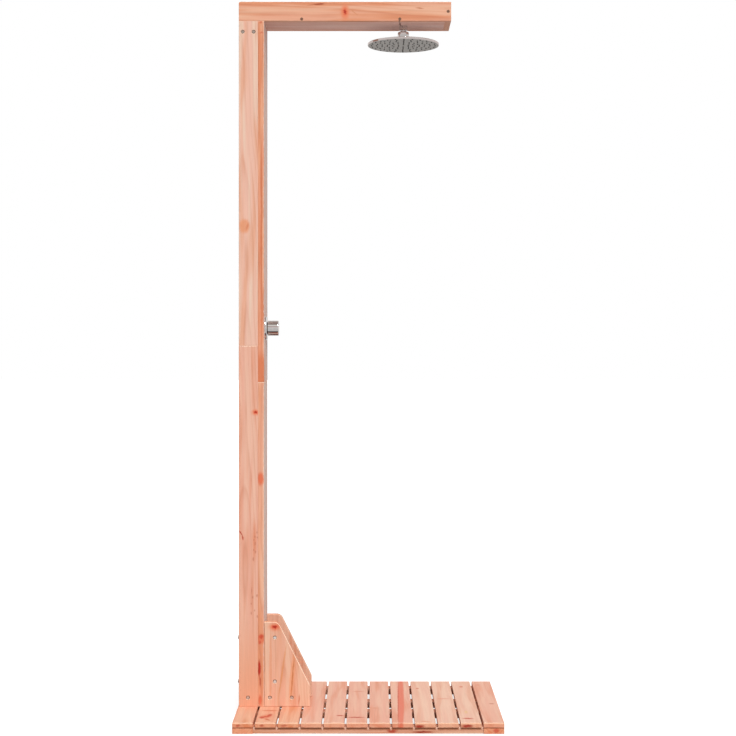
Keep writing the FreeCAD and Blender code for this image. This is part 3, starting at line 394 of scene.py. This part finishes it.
SLAT_TONES = {1: SALMON, 2: SALMON, 3: SALMON, 4: PINK, 5: PINK, 6: PINK, 7: PINK, 8: PINK, 9: PALE,
              10: PALE, 11: PALE, 12: PINK}
SLAT_MARKS = {
    1: [mark(SLAT_FRONT, -12, (5, 9, 5), "#bf5a42", 0.8, through=-1)],
    2: [mark(-113, 3, (9, 32), "#cf6a4a", 0.8),
        mark(-178, -3, (30, 22), "#dc6e4c", 0.6, 0.2),
        mark(-166, 6, (24, 9), "#bf3d28", 0.85, tilt=10),
        mark(-190, -14, (18, 10), "#bf3d28", 0.85, tilt=-10),
        mark(-182, -4, (10, 14), "#c8492f", 0.85, tilt=-25),
        mark(-212, 3, (20, 7), "#c8603f", 0.8, tilt=-30),
        mark(SLAT_FRONT, -10, (5, 9, 5), "#bf5a42", 0.8, through=-1)],
    3: [mark(SLAT_FRONT, -12, (5, 13, 5), "#c2634a", 0.75, through=-1)],
    5: [mark(-168, 15, (9, 14), "#be4632", 0.9)],
    6: [mark(117, 1, (8, 25), "#d07a60", 0.55),
        mark(-188, -3, (8, 33), "#b43e2a", 0.9)],
    7: [mark(-83, -12, (9, 13), "#d88a6c", 0.55)],
    8: [mark(0, 0.5, (420, 11), "#e0755c", 0.85, 0.6, tilt=1.0),
        mark(0, -7.5, (420, 1.8), "#c85a44", 0.8, 0.5, tilt=1.0)],
    9: [mark(156, -9.6, (12, 7), "#cf6a4e", 0.7),
        mark(-235, 2, (9, 22), "#e08a66", 0.6, tilt=20),
        mark(SLAT_FRONT, -16, (8, 19, 6), "#a8341f", 0.95, through=-3)],
    10: [mark(27, -1, (10, 27), "#dc8c74", 0.55)],
    11: [mark(177, -1.6, (14, 8), "#cf6a4e", 0.7),
         mark(-200, -6, (9, 22), "#be4632", 0.85, tilt=8),
         mark(-129, -6.5, (26, 7), "#e6bc80", 0.6),
         mark(SLAT_FRONT, -10, (8, 22, 6), "#a8341f", 0.95, through=-2)],
    12: [mark(201, -12, (12, 9), "#dc8c74", 0.6),
         mark(-33, 10, (9, 11), "#b8604a", 0.6)],
}
BATTEN_MARKS = [mark(64, BATTEN_FRONT, (19, 9, 10), "#b83c26", 0.9),
                mark(147, BATTEN_FRONT, (38, 9, 4), "#9e2c1a", 0.95, through=-4)]
END_BOARD_MARKS = {"end_board_back": [],
                   "end_board_front": [mark(SLAT_FRONT, 6, (14, 12, 9), "#c8533a", 0.8)]}


def make_slat_wood():
    """The slats, with a highlight painted along the upper edge of their front ends."""
    # A painted highlight: a pale band along the upper edge of each slat's front end.
    edge = mark(SLAT_FRONT, 0, (3.5, ALL_OVER, 3.4), "#ffe0c6", 0.8, 0.4, through=SLAT_TOP)
    for index, tones in SLAT_TONES.items():
        name = "slat_%02d" % index
        pith = (8.0 * (index % 5 - 2), -20)
        dress([name], planed_fir(name, "Y", "X", tones, 1.3 + 2.6 * index, pith=pith, ring_depth=0.25,
                                 shade=0.98, marks=[edge] + SLAT_MARKS.get(index, [])))


def make_underframe_wood():
    """The boards under the slats, with a shadow of the slats painted just below their front ends."""
    painted_slat_shadow = mark(SLAT_FRONT, 0, (12, ALL_OVER, 4.0), "#a0583a", 0.85, 0.4, through=UNDERFRAME_TOP)
    for seed, (name, marks) in enumerate(END_BOARD_MARKS.items()):
        dress([name], planed_fir(name, "Y", "X", SALMON, 4.2 + seed, edge_highlight=0, marks=marks + [painted_slat_shadow]))

    # On the battens' fronts the painted shadow is broken by pale marks below the gaps between the slats:
    # painted light that falls through the gaps.
    painted_slat_shadow = mark(0, BATTEN_FRONT, (ALL_OVER, 14, 9.8), "#b06a46", 0.8, 0.6, through=UNDERFRAME_TOP)
    gap_count = len(SLAT_TONES) - 1
    gaps = [SLAT_PITCH * (step - (gap_count - 1) / 2) for step in range(gap_count)]
    painted_light = [mark(place, BATTEN_FRONT, (3.5, 14, 10), "#f2c4ac", 0.9, 0.5, through=UNDERFRAME_TOP)
              for place in gaps]
    for seed, name in enumerate(("batten_outer_left", "batten_inner_left", "batten_inner_right",
                                 "batten_outer_right")):
        marks = BATTEN_MARKS if name == "batten_outer_left" else []
        dress([name], planed_fir(name, "X", "Y", SALMON, 7.7 + seed, edge_highlight=0, shade=0.9,
                                 marks=marks + [painted_slat_shadow] + painted_light))


# ---- The boards of the post, its gussets and the arm ----
LEFT_EDGE = -half_size("front_board_lower").y    # the photographed edge of the front boards
FRONT_FACE = half_size("front_board_lower").x
SIDE_JOINT = half_size("post_left_lower").z      # the joints, from a lower board's middle
FRONT_JOINT = half_size("front_board_lower").z
# Painted highlight: pale lines along the joints between board lengths, where the eased edges catch the
# light.
JOINT_HIGHLIGHT = "#ffdcc4"

POST_UPPER_MARKS = [mark(-120, -11, (26, 20), "#e3966c", 0.85, 0.5),
                    mark(-121, -3, (15, 5), "#d4805a", 0.7, tilt=20)]

# Resin flecks of the lower post board: (along, across, length, width).
RESIN_FLECKS = (
    (-17, 23.7, 5, 2.4), (-30, 18.4, 6, 3), (-32, 25.5, 4, 3.4), (-39, 15.3, 4, 2.4), (-49, 19.2, 7, 3),
    (-67, 15.3, 5, 2.8), (-72, 20.1, 6, 3), (-92, 13.9, 8, 3.4), (-181, 9.1, 14, 2), (-195, 24.6, 7, 5),
    (-200, 12.2, 6, 3), (-218, 8.3, 5, 2.4), (-237, 17, 5, 3), (-244, 8.3, 6, 2.4), (-254, 25, 6, 3))
POST_LOWER_MARKS = [mark(-SIDE_JOINT, 0, (330, 120), "#e49f7c", 0.75, 0.2)]
POST_LOWER_MARKS += red_knot(320, 20.6, (13, 17))
POST_LOWER_MARKS += [
    mark(-19, -21.5, (11, 2.8), "#b03c26", 0.95, 0.4, tilt=-33),
    mark(-32, -15.8, (11, 2.8), "#b8452f", 0.9, 0.4, tilt=-6),
    mark(-40, 17, (80, 10), "#dc8562", 0.75, 0.2),
    mark(SIDE_JOINT - 0.5, 0, (2.6, 400), JOINT_HIGHLIGHT, 0.8, 0.4)]
POST_LOWER_MARKS += [mark(along, across, (length, width), "#b4664c", 0.5)
                     for along, across, length, width in RESIN_FLECKS]

# The front boards' front faces are painted paler and greyer, a painted sheen of the white studio they
# reflect at a grazing angle, and spike knots run in from their left edges.
SHEEN_SKIN = 3.0
PAINTED_GRAZING_SHEEN = mark(0, 0, (ALL_OVER, ALL_OVER, SHEEN_SKIN), "#eae1dc", 0.6, 0.5,
                 through=FRONT_FACE + SHEEN_SKIN / 2)
FRONT_LOWER_MARKS = [
    PAINTED_GRAZING_SHEEN,
    mark(FRONT_JOINT - 0.25, 0, (2.6, 400), JOINT_HIGHLIGHT, 0.8, 0.4),
    mark(184, LEFT_EDGE, (25, 52, 12), "#df6c46", 0.9, 0.4, through=-1),
    mark(-265, LEFT_EDGE, (19, 46, 14), "#dc7450", 0.85, 0.45),
    mark(-259, LEFT_EDGE, (9, 40, 9), "#c8482f", 0.85, 0.3),
    mark(-275, LEFT_EDGE, (6, 40, 6), "#c8503a", 0.7, 0.3, through=-3),
    mark(-348, LEFT_EDGE, (31, 48, 5.6), "#b02c1a", 0.97, 0.4, through=-4.5),
    mark(-386, LEFT_EDGE, (24, 44, 3.0), "#ae4a30", 0.9, through=-2.6),
    mark(-437, LEFT_EDGE, (22, 46, 7), "#d4623f", 0.8, through=-2.5)]
FRONT_UPPER_MARKS = [
    PAINTED_GRAZING_SHEEN,
    mark(504, LEFT_EDGE, (6, 46, 5), "#cc5e40", 0.8, through=-1),
    mark(474, LEFT_EDGE, (4, 46, 8), "#cc5e40", 0.7, through=1),
    mark(-495, LEFT_EDGE, (90, 14), "#d6754a", 0.8, 0.5),
    mark(400, LEFT_EDGE, (420, 30, 3), "#d9865c", 0.5, 0.5, through=-3),
    mark(-100, LEFT_EDGE, (380, 30, 3), "#cc6c42", 0.7, 0.5, through=1)]

GUSSET_MARKS = red_knot(105, -34, (17, 27)) + [
    mark(0, -64, (400, 3.0), "#c07c58", 0.6, 0.4),
    mark(-40, 14, (85, 8), "#e79a6c", 0.6, 0.5, tilt=4.6),
    mark(-43, 15, (76, 2.6), "#c67848", 0.85, 0.5, tilt=4.6),
    mark(-22, -13, (96, 3.4), "#d8905c", 0.65, 0.5, tilt=8.3),
    mark(-10, -46, (130, 5), "#e0906c", 0.6, 0.5),
    mark(-100, 34, (22, 3), "#cf7050", 0.7, tilt=4)]

# A run of dirt goes from a screw of the arm down and under its floor to the neck of the head.
DIRT = "#74423a"
ARM_MARKS = [mark(153, -27, (3.2, 4), DIRT, 0.8),
             mark(0, -2, (17, 32), "#e8855e", 0.9, 0.25)]
ARM_MARKS += red_knot(0, -1, (15, 26))
ARM_MARKS += [mark(-74, 20, (24, 3.2), "#a9502f", 0.95, 0.4, tilt=3),
              mark(-95, 18, (14, 2.2), "#c0704a", 0.7, tilt=8),
              mark(26, -3, (16, 2.2), "#cf8458", 0.7, tilt=-38),
              mark(210, 9, (16, 3.2), "#bf6e4a", 0.8, tilt=-6)]
ARM_FLOOR_MARKS = [mark(137, -25, (3.2, 34), DIRT, 0.8, 0.5, tilt=-3)]


def make_post_wood():
    sides = {"post_left_upper": (CREAM, 9.3, POST_UPPER_MARKS),
             "post_left_lower": (PINK, 2.1, POST_LOWER_MARKS),
             "post_right_upper": (PINK, 5.2, []),
             "post_right_lower": (PINK, 11.4, red_knot(-180, -9, (8, 9)))}
    for name, (tones, seed, marks) in sides.items():
        dress([name], planed_fir(name, "Z", "X", tones, seed, marks=marks))
    fronts = {"front_board_lower": (SALMON, 6.1, FRONT_LOWER_MARKS),
              "front_board_upper": (ORANGE, 4.7, FRONT_UPPER_MARKS)}
    for name, (tones, seed, marks) in fronts.items():
        dress([name], planed_fir(name, "Z", "Y", tones, seed, marks=marks))


def make_gusset_wood():
    """The right gusset is painted darker, a painted shade, and its upper edges get only a faint painted
    highlight.
    """
    gussets = {"gusset_left": (3.3, GUSSET_MARKS, 0.97, 1.0), "gusset_right": (7.1, [], 0.88, 0.2)}
    for name, (seed, marks, shade, edge_highlight) in gussets.items():
        dress([name], planed_fir(name, "Z", "X", TAN, seed, run_out=3.0, ring_depth=0.4, marks=marks,
                                 shade=shade, edge_highlight=edge_highlight))


def make_arm_wood():
    sides = {"arm_left": (5.9, ARM_MARKS), "arm_right": (8.6, red_knot(140, 6, (9, 7)))}
    for name, (seed, marks) in sides.items():
        dress([name], planed_fir(name, "X", "Z", SALMON, seed, ring=8.0, marks=marks))
    # The arm's floor takes the greyer, paler tones of painted bounce light.
    dress(["arm_floor"], planed_fir("arm_floor", "X", "Y", GREY_PINK_PAINTED_BOUNCE, 8.3, ring_depth=0.25,
                                    marks=ARM_FLOOR_MARKS))
    dress(["arm_end"], planed_fir("arm_end", "Y", "Z", SALMON, 1.9))


# ---- Metals, plastics and rubber ----
FINISH_DEPTH = 0.2               # mm: the deepest mark of a finish with a bump of 1
NUT_GRAIN = 1.667                # mm: the mottle on the barrel nuts' ends
NUT_TONES = ("#f6f0ec", "#e0d6d0")
NUT_RING_PAINTED_SHADE = "#78675c"             # the chamfer and the gap round an end, painted dark: painted shade of the gap and a painted dark reflection in the chamfer
# Painted light on the barrel nuts by their height in metres: dull at the foot, bright in the gusset
# plates, where it paints their highlights, and dull again by the arm.
NUT_PAINTED_LIGHT = [(0.065, "#e0ccc2"), (0.09, "#ffffff"), (0.25, "#ffffff"), (0.4, "#b6aca4")]


def finish(name, tones, grain, metallic, roughness, bump=0.0, stretch=(1, 1, 1)):
    """A surface whose colour, gloss and height vary with one noise, its grain in mm."""
    material = new_material(name)
    tree = material.node_tree
    place = add_node(tree, "Mapping", {"Vector": add_node(tree, "TexCoord").outputs["Object"],
                                       "Scale": [1 / (grain * MM * factor) for factor in stretch]})
    noise = add_node(tree, "TexNoise", {"Vector": place.outputs[0], "Scale": 1.0, "Detail": 4.0})
    spread = add_node(tree, "MapRange", {0: noise.outputs["Fac"], 1: 0.3, 2: 0.7})
    colour = add_node(tree, "Mix", {0: spread.outputs[0], 6: linear(tones[0]), 7: linear(tones[1])},
                      data_type="RGBA").outputs[2]
    rough = add_node(tree, "MapRange", {0: spread.outputs[0], 3: roughness[0], 4: roughness[1]})
    height = add_node(tree, "Bump", {"Height": noise.outputs["Fac"], "Strength": bump,
                                     "Distance": FINISH_DEPTH * MM})
    surface = add_node(tree, "BsdfPrincipled", {"Base Color": colour, "Metallic": metallic,
                                                "Roughness": rough.outputs[0],
                                                "Normal": height.outputs[0]})
    add_node(tree, "OutputMaterial", {"Surface": surface.outputs[0]})
    return material


def slotted_end_zinc():
    """Zinc plated barrel nut: a turned end painted pale and little metallic as a painted highlight,
    inside a chamfer and gap painted dark as painted shade and dark reflection.
    """
    material = new_material("zinc_plated_slotted_end")
    tree = material.node_tree
    coords = add_node(tree, "TexCoord")
    facing = add_node(tree, "SeparateXYZ", {0: coords.outputs["Normal"]})
    outward = add_node(tree, "Math", {0: facing.outputs["Y"]}, operation="ABSOLUTE")
    on_end = add_node(tree, "MapRange", {0: outward.outputs[0], 1: 0.9, 2: 0.99})
    in_slot = add_node(tree, "MapRange", {0: outward.outputs[0], 1: 0.4, 2: 0.2})
    turned = add_node(tree, "Math", {0: on_end.outputs[0], 1: in_slot.outputs[0]}, operation="MAXIMUM")
    place = add_node(tree, "Mapping", {"Vector": coords.outputs["Object"],
                                       "Scale": [1 / (NUT_GRAIN * MM)] * 3})
    noise = add_node(tree, "TexNoise", {"Vector": place.outputs[0], "Scale": 1.0, "Detail": 3.0})
    pale, dull = (linear(code) for code in NUT_TONES)
    bright = add_node(tree, "Mix", {0: noise.outputs["Fac"], 6: pale, 7: dull},
                      data_type="RGBA").outputs[2]
    height = add_node(tree, "SeparateXYZ", {0: coords.outputs["Object"]})
    painted_nut_light = add_node(tree, "ValToRGB", {0: height.outputs["Z"]}, stops=ramp(NUT_PAINTED_LIGHT))
    bright = add_node(tree, "Mix", {0: 1.0, 6: bright, 7: painted_nut_light.outputs[0]}, data_type="RGBA",
                      blend_type="MULTIPLY").outputs[2]
    colour = add_node(tree, "Mix", {0: turned.outputs[0], 6: linear(NUT_RING_PAINTED_SHADE), 7: bright},
                      data_type="RGBA").outputs[2]
    rough = add_node(tree, "MapRange", {0: noise.outputs["Fac"], 3: 0.3, 4: 0.5})
    metallic = add_node(tree, "MapRange", {0: turned.outputs[0], 3: 1.0, 4: 0.35})
    surface = add_node(tree, "BsdfPrincipled", {"Base Color": colour, "Metallic": metallic.outputs[0],
                                                "Roughness": rough.outputs[0]})
    add_node(tree, "OutputMaterial", {"Surface": surface.outputs[0]})
    return material


def make_metals():
    # Polished chrome plate: a cool mirror with faint water marks a few mm across.
    chrome = finish("polished_chrome_plate", ("#dcdddd", "#cfd2d4"), 5.0, 1.0, (0.04, 0.10))
    dress(["escutcheon", "valve_knob", "ball_fitting", "collar_nut", "head_shell"], chrome)
    # Bright zinc plate: pale grey with a fine mottle.
    zinc = finish("bright_zinc_plate", ("#c8c6c2", "#a5a29d"), 2.0, 1.0, (0.25, 0.45), 0.1)
    dress(["pan_screws", "base_bolts", "gusset_bolts", "joint_plates", "knob_grub_screw"], zinc)
    # The bolt heads on top of the arm are paler and only half metallic, so they stay bright: a painted
    # reflection.
    painted_light = finish("pale_zinc_plate_painted_reflection", ("#f2eeea", "#dcd6d0"), 2.0, 0.5, (0.35, 0.5), 0.1)
    dress(["arm_bolts"], painted_light)
    dress(["barrel_nuts"], slotted_end_zinc())
    # Yellow passivated screws have gone brown out of doors.
    brown = finish("browned_steel_screws", ("#8f6f5e", "#6a5244"), 1.5, 1.0, (0.35, 0.55), 0.15)
    dress(["slat_screws", "board_screws"], brown)
    # Machined brass: warm yellow with darker handling marks.
    brass = finish("machined_brass", ("#d2b067", "#b08a48"), 4.0, 1.0, (0.22, 0.42), 0.05)
    dress(["inlet_elbow", "corner_elbow", "drop_elbow", "compression_nuts", "valve_body",
           "valve_cartridge", "valve_lock_nut", "valve_spindle"], brass)


def make_pipes():
    """Drawn stainless tube: satin, with fine lines along each pipe."""
    tubes = {"drawn_stainless_tube": (["lower_pipe", "riser_pipe"], (1, 1, 40)),
             "drawn_stainless_tube_level": (["arm_pipe"], (40, 1, 1))}
    for name, (pipes, stretch) in tubes.items():
        dress(pipes, finish(name, ("#c2c2c0", "#9e9f9f"), 1.2, 1.0, (0.2, 0.38), 0.08, stretch))


def make_plastics_and_rubber():
    # Moulded plastics: an even colour with a fine texture from the mould.
    clips = finish("grey_polypropylene", ("#a0a09c", "#90908c"), 1.0, 0.0, (0.45, 0.6), 0.2)
    dress(["pipe_clips"], clips)
    ring = finish("white_acetal", ("#e8e6e0", "#dedcd6"), 1.5, 0.0, (0.35, 0.45), 0.05)
    dress(["seat_ring"], ring)
    face = finish("satin_grey_abs", ("#b0b0ac", "#a4a4a0"), 1.2, 0.0, (0.35, 0.5), 0.15)
    dress(["face_plate"], face)
    # Moulded rubber: dark, with a dull bloom.
    seal = finish("black_nitrile_rubber", ("#1c1c1c", "#282828"), 1.5, 0.0, (0.55, 0.75), 0.1)
    dress(["ball_seal"], seal)
    nozzles = finish("dark_silicone", ("#2e2d2c", "#232222"), 1.0, 0.0, (0.45, 0.6), 0.1)
    dress(["spray_nozzles"], nozzles)


make_camera()
make_stage()
make_slat_wood()
make_underframe_wood()
make_post_wood()
make_gusset_wood()
make_arm_wood()
make_metals()
make_pipes()
make_plastics_and_rubber()
